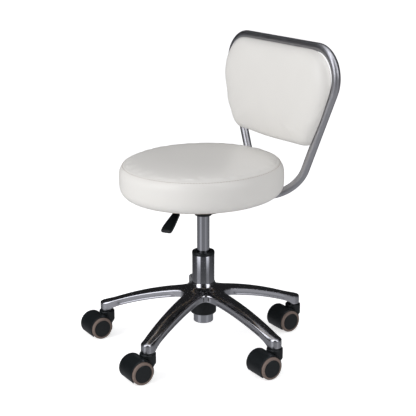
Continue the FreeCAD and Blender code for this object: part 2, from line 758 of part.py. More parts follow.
TAIL_BOLT_SHARES = (0.16, 0.5)   # along each straight tail, from its end to the foot bend's corner


def tail_bolt_spots():
    """Places of the four bolts through the tube's straight tails."""
    points = loop_points()
    spots = []
    for tail, foot in ((points[0], points[1]), (points[5], points[4])):
        for share in TAIL_BOLT_SHARES:
            spot = tail + (foot - tail) * share
            spots.append((spot.x, spot.y))
    return spots


def make_backrest_frame():
    """The bent tube, its saddle spacers and bolts under the seat board, and its end plugs."""
    points = loop_points()
    foot, head = value("foot_bend_radius"), value("head_bend_radius")
    path = rounded_path("loop_path", points, (foot, head, head, foot))
    wall = cut(swept(path, "tube_radius"), swept(path, "tube_radius - tube_wall"))
    head_top = "-tube_drop - tube_radius - 0.02"
    spots = [(str(round(x, 3)), str(round(y, 3))) for x, y in tail_bolt_spots()]
    holes = fuse(*[cylinder("bolt_radius + 0.3", "4 * tube_radius", x, y, "-tube_drop - 2 * tube_radius")
                   for x, y in spots])
    place_on_seat(keep(cut(wall, holes), "backrest_tube"))
    bolts = [headed_bolt(x, y, head_top, "board_thickness - 1") for x, y in spots]
    place_on_seat(group("backrest_bolts", bolts))
    clear = swept(path, "tube_radius + fixed_gap")
    spacers = []
    for x, y in spots:
        block = cylinder("tube_radius - 0.5", "tube_drop - 5 - cover_thickness", x, y, "5 - tube_drop")
        bore = cylinder("bolt_radius + 0.3", "2 * tube_drop", x, y, "-tube_drop - 5")
        spacers.append(cut(cut(block, clear), bore))
    place_on_seat(group("backrest_spacers", spacers))
    plugs = []
    for tail, foot_point in ((points[0], points[1]), (points[5], points[4])):
        along = (foot_point - tail).normalize()
        turn = Rotation(Vector(0, 0, 1), along)
        plug = cylinder("tube_radius - tube_wall - fixed_gap", "14", turn=turn)
        cap = cylinder("tube_radius", "3", turn=turn)
        for item, shift in ((plug, -0.5), (cap, -3.02)):
            spot = tail + along * shift
            place(item, str(spot.x), str(spot.y), str(spot.z), turn)
        plugs.append(fuse(plug, cap))
    place_on_seat(group("backrest_tube_plugs", plugs))
    return clear


def pad_outline(sketch, inset):
    """The backrest pad's outline, inset from the tube's centreline, with sharp corners."""
    inset = f"({inset})"
    slope = "(loop_head_half_width - loop_foot_half_width) / loop_height"
    top = f"(loop_height - {inset})"
    foot = f"(pad_bottom + {inset} - pad_inset)"
    def half(level):
        return f"(loop_foot_half_width + {slope} * {level} - {inset} * sqrt(1 + ({slope})^2))"
    return draw_outline(sketch, [(f"-{half(foot)}", foot), (half(foot), foot), (half(top), top),
                                 (f"-{half(top)}", top)])


def slab(name, inset, front, thickness, top_corner, bottom_corner):
    """A flat panel in the backrest plane with four rounded corners."""
    body = new_body(name)
    pad(body, pad_outline(sketch_on(body, "XZ_Plane", front), inset), thickness)
    middle = value("(pad_bottom + loop_height) / 2")
    for radius, upper in ((top_corner, True), (bottom_corner, False)):
        fillet(body, radius, lambda edge, upper=upper: abs(edge.tangentAt(edge.FirstParameter).y) > 0.99
               and (edge.CenterOfMass.z > middle) == upper)
    return body


def make_backrest_pad(lean):
    """Plywood board with foam and vinyl over it, in front of the tube."""
    back = "tube_radius + pad_gap"
    cushion = slab("backrest_cushion", "pad_inset", back, "pad_thickness", "pad_top_corner",
                   "pad_bottom_corner")
    front = value(f"{back} + pad_thickness")
    fillet(cushion, "pad_edge_round", lambda edge: abs(edge.CenterOfMass.y + front) < 0.01)
    recess = pad_outline(sketch_on(cushion, "XZ_Plane", f"{back} - 1"), "pad_inset + pad_board_margin - 1")
    pocket(cushion, recess, "pad_board_thickness + 2", reversed_=True)
    board = slab("backrest_board", "pad_inset + pad_board_margin", f"{back} + 0.2", "pad_board_thickness",
                 "pad_top_corner - 9", "pad_bottom_corner - 9")
    for body in (cushion, board):
        place_on_seat(keep(body, body.Name), y="loop_foot_back", z="-tube_drop", turn=lean)


def lug_spots():
    """Places of the four lugs: a point on the tube's centreline in the backrest plane and the way inward."""
    share = value("side_lug_height / loop_height")
    side = value("loop_foot_half_width") * (1 - share) + value("loop_head_half_width") * share
    across, high = value("top_lug_half_gap"), value("loop_height")
    down, inward = Vector(0, 0, -1), Vector(-1, 0, 0)
    return [(Vector(across, 0, high), down), (Vector(-across, 0, high), down),
            (Vector(side, 0, share * high), inward), (Vector(-side, 0, share * high), -inward)]


def make_backrest_lugs(lean, clear):
    """Flat lugs welded inside the loop and the screws that go through them into the pad's board."""
    foot = Vector(0, value("loop_foot_back"), -value("tube_drop"))
    start, length, width, thick = (value(name) for name in ("lug_start", "lug_length", "lug_width",
                                                            "lug_thickness"))
    front = value("tube_radius")
    under_lug = front - thick - 0.02
    screw = start + length - value("3 * screw_radius")
    tilt = lean * Rotation(Vector(1, 0, 0), 90)
    lugs = []
    screws = []
    for spot, inward in lug_spots():
        def seat_point(along, forward):
            """A point of the seat frame, inward from the tube and forward of the backrest plane."""
            point = foot + lean.multVec(spot + inward * along + Vector(0, -forward, 0))
            return [str(round(number, 4)) for number in point]
        middle = seat_point(start + length / 2, front - thick / 2)
        size_x, size_z = (length, width) if abs(inward.x) > 0.5 else (width, length)
        plate = bind(doc.addObject("Part::Box"), Length=str(size_x), Width="lug_thickness", Height=str(size_z))
        corner = lean.multVec(Vector(-size_x / 2, -thick / 2, -size_z / 2))
        place(plate, *[f"{centre} + ({round(shift, 4)})" for centre, shift in zip(middle, corner)], turn=lean)
        hole = cylinder("screw_radius + 0.2", "3 * lug_thickness", *seat_point(screw, front - 2 * thick), tilt)
        lugs.append(cut(cut(plate, clear), hole))
        shank = cylinder("screw_radius", "screw_length", *seat_point(screw, under_lug), tilt)
        head_foot = seat_point(screw, under_lug - value("screw_radius"))
        head = cylinder("2 * screw_radius", "screw_radius", *head_foot, tilt)
        screws.append(fuse(shank, head))
    place_on_seat(group("backrest_lugs", lugs))
    place_on_seat(group("backrest_screws", screws))


# ---------------------------------------------------------------- build, check and write

def write_parts():
    """Check every object and write each sub-part to its own file."""
    doc.recompute()
    for item in doc.Objects:
        if {"Invalid", "Error"} & set(item.State):
            raise ValueError(f"{item.Label} failed: {item.State}")
    os.makedirs("parts", exist_ok=True)
    for name, item in parts.items():
        if item.Shape.isNull() or not item.Shape.isValid() or not item.Shape.Solids:
            raise ValueError(f"{name} has no valid solid")
        item.Shape.exportStep(f"parts/{name}.step")
    print(f"{len(parts)} sub-parts written")


make_star_base()
make_caster_stems()
make_gas_spring()
for caster_number in range(int(value("leg_count"))):
    make_caster(caster_number)
make_mechanism()
make_mechanism_bolts()
make_lever()
make_seat()
tube_clearance = make_backrest_frame()
backrest_lean = Rotation(Vector(1, 0, 0), -math.degrees(math.atan2(value("loop_head_back - loop_foot_back"),
                                                                   value("loop_height"))))
make_backrest_pad(backrest_lean)
make_backrest_lugs(backrest_lean, tube_clearance)
write_parts()
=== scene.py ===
"""The looks of a rolling stylist stool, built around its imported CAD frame.

Lengths are metres in the frame of the CAD model: the origin is on the floor on the column
axis, +Z is up, the sitter faces -Y and +X is the sitter's left.
"""

import json
import logging
import math
from collections.abc import Callable, Iterable
from dataclasses import dataclass, field
from enum import Enum

import bpy
from mathutils import Matrix, Vector


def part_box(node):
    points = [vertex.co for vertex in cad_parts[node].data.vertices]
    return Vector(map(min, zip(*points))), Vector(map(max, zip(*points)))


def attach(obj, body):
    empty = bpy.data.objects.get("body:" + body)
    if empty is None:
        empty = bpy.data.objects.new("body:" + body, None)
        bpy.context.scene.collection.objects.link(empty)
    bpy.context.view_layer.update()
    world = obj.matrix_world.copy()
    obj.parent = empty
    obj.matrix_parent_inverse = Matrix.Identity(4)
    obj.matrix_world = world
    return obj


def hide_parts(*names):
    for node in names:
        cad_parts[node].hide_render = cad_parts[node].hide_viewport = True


LOG = logging.getLogger("stylist_stool")
MM = 0.001
SEAT_HEIGHT = 352 * MM      # of the underside of the seat, on the column axis
SEAT_PITCH = 1.4            # degrees, front edge lower
CASTERS = 5
FOAM_PRESSURE = 4.0
SWELL_FRAMES = 20

Piece = bpy.types.Object
Socket = bpy.types.NodeSocket
Pairs = tuple[tuple[float, float], ...]

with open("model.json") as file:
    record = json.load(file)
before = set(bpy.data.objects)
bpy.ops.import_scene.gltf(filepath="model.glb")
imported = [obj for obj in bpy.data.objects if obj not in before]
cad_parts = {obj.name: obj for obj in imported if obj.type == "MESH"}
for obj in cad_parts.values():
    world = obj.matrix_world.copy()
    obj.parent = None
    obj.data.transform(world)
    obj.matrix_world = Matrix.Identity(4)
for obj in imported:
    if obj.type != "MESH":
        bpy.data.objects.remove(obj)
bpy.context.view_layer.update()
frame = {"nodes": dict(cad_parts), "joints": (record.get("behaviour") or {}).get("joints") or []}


# ---- small tools

def linear(colour: str, strength: float = 1.0) -> tuple[float, float, float, float]:
    """Turn an sRGB hex colour into linear light.

    Args:
        colour: Six hex digits after a hash.
        strength: Factor on the light.

    Returns:
        Linear red, green, blue and an alpha of one.
    """
    def channel(start: int) -> float:
        """Linear value of the two hex digits at a place."""
        share = int(colour[start:start + 2], 16) / 255
        return strength * (share / 12.92 if share <= 0.04045 else ((share + 0.055) / 1.055) ** 2.4)

    return channel(1), channel(3), channel(5), 1.0


def add_node(tree: bpy.types.NodeTree, kind: str, inputs: dict | None = None,
             **settings: object) -> bpy.types.Node:
    """Add a shader node with its settings and links.

    Args:
        tree: Node tree that takes the node.
        kind: Blender's name for the node type, after ShaderNode.
        inputs: Socket name or number to a plain value or to the output socket that feeds it.
        **settings: Attributes of the node.
    """
    node = tree.nodes.new("ShaderNode" + kind)
    for name, setting in settings.items():
        setattr(node, name, setting)
    for name, source in (inputs or {}).items():
        if isinstance(source, Socket):
            tree.links.new(source, node.inputs[name])
        else:
            node.inputs[name].default_value = source
    return node


def select_only(piece: Piece) -> None:
    """Make one object the only selected and the active one."""
    for other in bpy.context.selected_objects:
        other.select_set(False)
    piece.select_set(True)
    bpy.context.view_layer.objects.active = piece


def new_piece(name: str, add: Callable[..., object], **settings: object) -> Piece:
    """Add a primitive as the only selected object.

    Args:
        name: Name of the piece.
        add: Operator that adds the primitive.
        **settings: The operator's settings.
    """
    for other in bpy.context.selected_objects:
        other.select_set(False)
    add(**settings)
    piece = bpy.context.object
    piece.name = piece.data.name = name
    return piece


def apply_modifier(piece: Piece, kind: str, **settings: object) -> None:
    """Add a modifier with its settings and apply it."""
    select_only(piece)
    modifier = piece.modifiers.new(kind.title(), kind)
    for name, setting in settings.items():
        setattr(modifier, name, setting)
    bpy.ops.object.modifier_apply(modifier=modifier.name)


def settle(piece: Piece, place: Matrix = Matrix.Identity(4),
           smooth: float = 35) -> Piece:
    """Bake an object's place into its mesh and smooth its shading.

    Args:
        piece: Object to finish.
        place: Extra move of the whole piece.
        smooth: Edges flatter than this many degrees are shaded smooth.
    """
    select_only(piece)
    piece.data.transform(place @ piece.matrix_world)
    piece.matrix_world = Matrix.Identity(4)
    bpy.ops.object.shade_smooth_by_angle(angle=math.radians(smooth))
    return piece


def close_up(piece: Piece, distance: float = 0.02 * MM) -> None:
    """Merge doubled vertices and point every face outward."""
    select_only(piece)
    bpy.ops.object.mode_set(mode="EDIT")
    bpy.ops.mesh.select_all(action="SELECT")
    bpy.ops.mesh.remove_doubles(threshold=distance)
    bpy.ops.mesh.normals_make_consistent(inside=False)
    bpy.ops.object.mode_set(mode="OBJECT")


def turned(name: str, profile: Iterable[tuple[float, float]], steps: int = 96) -> Piece:
    """Turn an outline about Z, as on a lathe.

    Args:
        name: Name of the piece.
        profile: Radius and height of each point; ends on the axis are closed, and an outline
            that comes back to its start makes a ring.
        steps: Divisions round the axis.
    """
    points = [Vector((radius, 0, height)) for radius, height in profile]
    piece = new_piece(name, bpy.ops.mesh.primitive_plane_add, size=MM)
    bpy.ops.object.mode_set(mode="EDIT")
    bpy.ops.mesh.merge(type="CENTER")
    bpy.ops.transform.translate(value=points[0])
    for start, end in zip(points, points[1:]):
        bpy.ops.mesh.extrude_region_move(TRANSFORM_OT_translate={"value": end - start})
    bpy.ops.mesh.select_all(action="SELECT")
    bpy.ops.mesh.spin(steps=steps, angle=math.tau, center=(0, 0, 0), axis=(0, 0, 1))
    bpy.ops.object.mode_set(mode="OBJECT")
    close_up(piece)
    return piece


def shaped_grid(name: str, rows: int, columns: int, place: Callable[[int, int], Vector]) -> Piece:
    """Add a grid and move each of its vertices to where a shape function puts it.

    Args:
        name: Name of the piece.
        rows: Vertices along the first way.
        columns: Vertices along the second way.
        place: Gives the point of a row and a column.
    """
    sheet = new_piece(name, bpy.ops.mesh.primitive_grid_add, x_subdivisions=rows - 1,
                      y_subdivisions=columns - 1, size=1)
    for vertex in sheet.data.vertices:
        vertex.co = place(round((vertex.co.x + 0.5) * (rows - 1)), round((vertex.co.y + 0.5) * (columns - 1)))
    return sheet


def join(pieces: list[Piece]) -> Piece:
    """Join several objects into the first one."""
    select_only(pieces[0])
    for piece in pieces:
        piece.select_set(True)
    bpy.ops.object.join()
    return pieces[0]


def copy_of(piece: Piece, place: Matrix) -> Piece:
    """Copy an object with its own mesh, moved by a matrix."""
    twin = piece.copy()
    twin.data = piece.data.copy()
    bpy.context.scene.collection.objects.link(twin)
    twin.data.transform(place)
    return twin


def deselect(mesh: bpy.types.Mesh) -> None:
    """Clear the selection of a mesh."""
    for group in (mesh.vertices, mesh.edges, mesh.polygons):
        group.foreach_set("select", [False] * len(group))


def pick(piece: Piece, chosen: Callable[[Vector, Vector], bool]) -> None:
    """Select only the faces whose centre and normal pass a test."""
    deselect(piece.data)
    for face in piece.data.polygons:
        face.select = chosen(face.center, face.normal)


def swell(piece: Piece, held: Callable[[Vector], bool], limit: float) -> None:
    """Args:
        piece: Closed cover; its mesh is changed in place.
        held: Whether the cover is sewn or stapled down at a point.
        limit: Furthest that any point may move.
    """
    select_only(piece)
    rest = [vertex.co.copy() for vertex in piece.data.vertices]
    pins = piece.vertex_groups.new(name="pins")
    pins.add([index for index, point in enumerate(rest) if held(point)], 1.0, "REPLACE")
    modifier = piece.modifiers.new("Cloth", "CLOTH")
    cloth = modifier.settings
    cloth.quality = 6
    cloth.mass = 0.3
    cloth.tension_stiffness = cloth.compression_stiffness = 25
    cloth.shear_stiffness = 10
    cloth.bending_stiffness = 2
    cloth.use_pressure = True
    cloth.uniform_pressure_force = FOAM_PRESSURE
    cloth.vertex_group_mass = pins.name
    cloth.effector_weights.gravity = 0
    modifier.collision_settings.use_collision = False
    for number in range(1, SWELL_FRAMES + 1):
        bpy.context.scene.frame_set(number)
    bpy.ops.object.modifier_apply(modifier=modifier.name)
    bpy.context.scene.frame_set(1)
    for vertex, start in zip(piece.data.vertices, rest):
        move = vertex.co - start
        if move.length > limit:
            vertex.co = start + move.normalized() * limit
    piece.vertex_groups.clear()


# ---- finishes

class Grain(Enum):
    """How a surface was made, which decides its pattern."""

    MOULDED = "moulded"
    CAST = "cast"
    BRUSHED = "brushed"
    LEATHER = "leather"
    WOVEN = "woven"
    LAYERED = "layered"


@dataclass(frozen=True)
class Finish:
    """One real material: colour, gloss and the pattern that its making leaves, in millimetres."""

    name: str
    colour: str
    grain: Grain
    grain_size: float
    relief: float
    roughness: float
    metallic: float = 0.0
    coat: float = 0.0
    sheen: float = 0.0
    mottle: float = 0.06
    mottle_size: float = 30

    def pattern(self, tree: bpy.types.NodeTree, point: Socket) -> Socket:
        """Add the nodes of the surface relief.

        Args:
            tree: Tree of the material.
            point: Object coordinates.

        Returns:
            The relief's height, from nought to one.
        """
        scale = 1 / (self.grain_size * MM)
        if self.grain is Grain.LEATHER:
            cells = add_node(tree, "TexVoronoi", {"Vector": point, "Scale": scale},
                             feature="SMOOTH_F1")
            return cells.outputs["Distance"]
        if self.grain in (Grain.WOVEN, Grain.LAYERED):
            bands = add_node(tree, "TexWave", {"Vector": point, "Scale": scale / math.tau * 2,
                                                         "Distortion": 0.6},
                             bands_direction="Z" if self.grain is Grain.LAYERED else "DIAGONAL")
            return bands.outputs["Fac"]
        noise = add_node(tree, "TexNoise", {"Vector": point, "Scale": scale, "Detail": 4.0})
        return noise.outputs["Fac"]

    def material(self) -> bpy.types.Material:
        """Build the node material named for the finish, once."""
        known = bpy.data.materials.get(self.name)
        if known:
            return known
        material = bpy.data.materials.new(self.name)
        material.use_nodes = True
        tree = material.node_tree
        tree.nodes.clear()
        point = add_node(tree, "TexCoord").outputs["Object"]
        relief = self.pattern(tree, point)
        cloud = add_node(tree, "TexNoise", {"Vector": point, "Scale": 1 / (self.mottle_size * MM),
                                                      "Detail": 3.0})
        # a colour mix takes its factor, its first and its second colour at these sockets
        tone = add_node(tree, "Mix", {
            0: cloud.outputs["Fac"], 6: linear(self.colour, 1 - self.mottle),
            7: linear(self.colour, 1 + self.mottle)}, data_type="RGBA")
        gloss = add_node(tree, "MapRange", {"Value": relief, "To Min": self.roughness * 0.85,
                                                      "To Max": min(1.0, self.roughness * 1.15)})
        bump = add_node(tree, "Bump", {"Height": relief, "Strength": 1.0, "Distance": self.relief * MM})
        shader = add_node(tree, "BsdfPrincipled", {
            "Base Color": tone.outputs[2], "Roughness": gloss.outputs["Result"],
            "Normal": bump.outputs["Normal"], "Metallic": self.metallic,
            "Coat Weight": self.coat, "Sheen Weight": self.sheen})
        add_node(tree, "OutputMaterial", {"Surface": shader.outputs["BSDF"]})
        return material

    def dress(self, *pieces: Piece) -> None:
        """Give the pieces this finish and nothing else."""
        for piece in pieces:
            piece.data.materials.clear()
            piece.data.materials.append(self.material())


# Die-cast aluminium, ground and polished: dark mirror where it sees the dark of the room.
POLISHED_ALUMINIUM = Finish("polished_cast_aluminium", "#C9C8CC", Grain.CAST, 40, 0.004, 0.17, 1.0,
                            mottle=0.03)
# Hard chrome over steel: the clearest reflections on the object.
CHROME = Finish("chrome_plated_steel", "#CFCFD4", Grain.CAST, 20, 0.005, 0.12, 1.0, mottle=0.02)
# Bare zinc-plated fasteners and pins: greyer and softer than chrome.
ZINC = Finish("zinc_plated_steel", "#A8A9AA", Grain.CAST, 2, 0.01, 0.34, 1.0, mottle=0.08)
# Satin steel tube: a duller mirror, whose reflections spread into soft bands.
BRUSHED_TUBE = Finish("brushed_steel_tube", "#C4C3C6", Grain.BRUSHED, 1.2, 0.004, 0.38, 1.0, mottle=0.03)
# Injection-moulded nylon with a fine eroded skin: satin black with a soft broad highlight.
BLACK_NYLON = Finish("moulded_black_nylon", "#14181A", Grain.MOULDED, 0.7, 0.012, 0.38, mottle=0.12)
# Powder-coated pressed steel: slightly pebbled black.
BLACK_STEEL = Finish("powder_coated_steel", "#121517", Grain.MOULDED, 1.4, 0.03, 0.45, mottle=0.10)
# Soft polyurethane tread: matt warm grey that picks up dust.
SOFT_TYRE = Finish("polyurethane_tread", "#7E6E66", Grain.MOULDED, 1.5, 0.02, 0.55, mottle=0.08,
                   mottle_size=12)
# Natural acetal bearings and bushes: milky and slightly waxy.
ACETAL = Finish("natural_acetal", "#E3E0D6", Grain.MOULDED, 0.8, 0.005, 0.4, mottle=0.03)
# Nitrile rubber seal: dull black.
RUBBER = Finish("nitrile_rubber", "#17181A", Grain.MOULDED, 0.6, 0.01, 0.7, mottle=0.08)
# Birch plywood: pale with darker glue lines at each veneer.
PLYWOOD = Finish("birch_plywood", "#C9A878", Grain.LAYERED, 1.5, 0.02, 0.6, mottle=0.12, mottle_size=18)
# Vinyl-coated cloth with a fine leather print: soft sheen over a creamy white.
WHITE_VINYL = Finish("upholstery_vinyl", "#E8E6E2", Grain.LEATHER, 1.3, 0.05, 0.42, mottle=0.015,
                     coat=0.08, mottle_size=60)
# Bonded polyester dust cover: thin black felt.
COVER_CLOTH = Finish("nonwoven_dust_cover", "#1C1D1E", Grain.WOVEN, 1.6, 0.05, 0.9, sheen=0.3,
                     mottle=0.15, mottle_size=8)
# Bonded polyester thread: a warm grey, darker than the vinyl that it sews.
THREAD = Finish("polyester_thread", "#B9ACA3", Grain.WOVEN, 0.8, 0.05, 0.6, mottle=0.05, sheen=0.2)

# CAD nodes that show as they are
CAD_FINISHES = {
    CHROME: ("piston_rod", "lever_arm"),
    BRUSHED_TUBE: ("backrest_lugs",),
    ZINC: ("caster_stems", "retaining_clip", "mechanism_bolts", "lever_pivot_pin", "seat_tee_nuts",
           "backrest_bolts", "backrest_screws", "valve_pin"),
    BLACK_STEEL: ("mechanism_housing", "taper_socket"),
    BLACK_NYLON: ("backrest_tube_plugs", "backrest_spacers"),
    ACETAL: ("guide_bush", "piston", "thrust_bearing"),
    RUBBER: ("rod_seal",),
    PLYWOOD: ("seat_board", "backrest_board"),
}
CASTER_FINISHES = {
    BLACK_NYLON: ("hood", "wheel_left", "wheel_right"),
    SOFT_TYRE: ("tyre_left", "tyre_right"),
    ZINC: ("axle",),
}


def mount(piece: Piece, finish: Finish, body: str, slot: str, *stands_for: str) -> None:
    """Dress a finished piece and put it on its body.

    Args:
        piece: The finished piece.
        finish: Its material.
        body: CAD body that it rides on.
        slot: The record's material slot; not used.
        *stands_for: CAD nodes that it is shown instead of.
    """
    finish.dress(piece)
    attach(piece, body)
    if stands_for:
        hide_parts(*stands_for)
    LOG.info("%s: %d faces", piece.name, len(piece.data.polygons))


# ---- studio

@dataclass
class Studio:
    """Camera, floor and light: a pale sweep lit by one broad key and two weak fills."""

    camera_place: tuple[float, float, float] = (1.9477, -1.2270, 0.976)
    camera_tilt: float = 16.02
    camera_heading: float = 57.53
    focal_length: float = 93.9
    sensor_width: float = 36
    floor_size: float = 30.0
    floor_glow: float = 0.6     # seen by the camera only, so it lights nothing
    fill_strength: float = 0.58
    aim_height: float = 0.35
    light_distance: float = 2.2

    # name, degrees right of the camera, degrees up, side in metres and watts of each lamp
    lamps: tuple[tuple[str, float, float, float, float], ...] = (
        ("key", -62, 24, 1.3, 21), ("front_fill", 10, 35, 1.6, 3.5), ("right_fill", 100, 12, 1.3, 6))

    def add_camera(self) -> None:
        """Add the camera at the stool's left front."""
        data = bpy.data.cameras.new("camera")
        data.lens = self.focal_length
        data.sensor_width = self.sensor_width
        data.clip_end = 100
        camera = bpy.data.objects.new("camera", data)
        camera.location = self.camera_place
        camera.rotation_euler = (math.radians(90 - self.camera_tilt), 0, math.radians(self.camera_heading))
        bpy.context.scene.collection.objects.link(camera)
        bpy.context.scene.camera = camera

    def add_floor(self) -> None:
        """Add the pale floor, which the metals don't mirror."""
        floor = new_piece("floor", bpy.ops.mesh.primitive_plane_add, size=self.floor_size)
        floor.visible_glossy = False
        material = bpy.data.materials.new("pale_floor")
        material.use_nodes = True
        shader = material.node_tree.nodes["Principled BSDF"]
        shader.inputs["Base Color"].default_value = linear("#F7F7F7")
        shader.inputs["Roughness"].default_value = 0.9
        shader.inputs["Emission Color"].default_value = (1, 1, 1, 1)
        seen = add_node(material.node_tree, "LightPath")
        glow = add_node(material.node_tree, "Math", {
            0: seen.outputs["Is Camera Ray"], 1: self.floor_glow}, operation="MULTIPLY")
        material.node_tree.links.new(glow.outputs[0], shader.inputs["Emission Strength"])
        floor.data.materials.append(material)

    def direction(self, across: float, height: float) -> Vector:
        """Unit vector at an angle right of the camera and above the horizon, in degrees."""
        heading = math.radians(self.camera_heading - 90 + across)
        lift = math.radians(height)
        return Vector((math.cos(heading) * math.cos(lift), math.sin(heading) * math.cos(lift),
                       math.sin(lift)))

    def add_light(self, name: str, across: float, height: float, size: float, power: float) -> None:
        """Add one of the lamps, aimed at the stool, which the metals don't mirror."""
        middle = Vector((0, 0, self.aim_height))
        data = bpy.data.lights.new(name, "AREA")
        data.size = size
        data.energy = power
        light = bpy.data.objects.new(name, data)
        away = self.direction(across, height)
        light.location = middle + away * self.light_distance
        light.rotation_euler = away.to_track_quat("Z", "Y").to_euler()
        light.visible_glossy = False
        bpy.context.scene.collection.objects.link(light)

    def add_world(self) -> None:
        """Add the room: white to look at, even for matt surfaces, dark with soft panels for glossy ones."""
        world = bpy.data.worlds.new("studio")
        world.use_nodes = True
        world.cycles.sampling_method = "NONE"   # keeps the matt fill out of the mirrors
        bpy.context.scene.world = world
        tree = world.node_tree
        tree.nodes.clear()
        way = add_node(tree, "TexCoord").outputs["Generated"]
        flat = add_node(tree, "VectorMath", {0: way, 1: (1, 1, 0)}, operation="MULTIPLY")
        level = add_node(tree, "VectorMath", {0: flat.outputs[0]}, operation="NORMALIZE").outputs[0]
        up = add_node(tree, "SeparateXYZ", {0: way}).outputs["Z"]

        def band(across: float, core: float, edge: float) -> Socket:
            """One in an upright band of the horizon, falling to nought at its edge, in degrees."""
            near = add_node(tree, "VectorMath", {0: level, 1: self.direction(across, 0)},
                            operation="DOT_PRODUCT").outputs["Value"]
            return add_node(tree, "MapRange", {
                "Value": near, "From Min": math.cos(math.radians(edge)),
                "From Max": math.cos(math.radians(core))}, interpolation_type="SMOOTHSTEP").outputs["Result"]

        def by_height(low: float, high: float, below: float, above: float) -> Socket:
            """A value that changes between two sines of height above the horizon."""
            return add_node(tree, "MapRange", {
                "Value": up, "From Min": low, "From Max": high, "To Min": below, "To Max": above},
                interpolation_type="SMOOTHSTEP").outputs["Result"]

        def combine(operation: str) -> Callable[[Socket, Socket], Socket]:
            """Make a function that adds the node of one operation on two values."""
            return lambda one, other: add_node(tree, "Math", {0: one, 1: other},
                                               operation=operation).outputs[0]

        times, plus = combine("MULTIPLY"), combine("ADD")
        # the floor's glow below the horizon, with a faint haze behind the camera
        room = plus(by_height(-0.6, 0.04, 0.32, 0.025),
                    times(band(0, 80, 120), by_height(0.1, 0.5, 0.07, 0.0)))
        left_panel = times(band(-48, 10, 24), by_height(-0.05, 0.3, 0.30, 2.8))
        right_panel = times(band(46, 8, 20), by_height(-0.05, 0.3, 0.15, 2.2))
        ceiling = by_height(0.80, 0.92, 0.0, 1.0)
        total = plus(plus(room, ceiling), plus(left_panel, right_panel))
        fill, mirrored, sweep = (
            add_node(tree, "Background", {"Color": colour, "Strength": strength}).outputs[0]
            for colour, strength in ((linear("#FAFAFC"), self.fill_strength), (linear("#EDEFF5"), total),
                                     ((1, 1, 1, 1), 1.0)))
        seen = add_node(tree, "LightPath")
        matt = add_node(tree, "MixShader", {0: seen.outputs["Is Glossy Ray"], 1: fill, 2: mirrored})
        whole = add_node(tree, "MixShader", {0: seen.outputs["Is Camera Ray"], 1: matt.outputs[0], 2: sweep})
        add_node(tree, "OutputWorld", {"Surface": whole.outputs[0]})

    def build(self) -> None:
        """Set up the whole studio."""
        self.add_camera()
        self.add_floor()
        self.add_world()
        for lamp in self.lamps:
            self.add_light(*lamp)
        view = bpy.context.scene.view_settings
        view.view_transform = "Standard"
        view.look = "None"


# ---- base

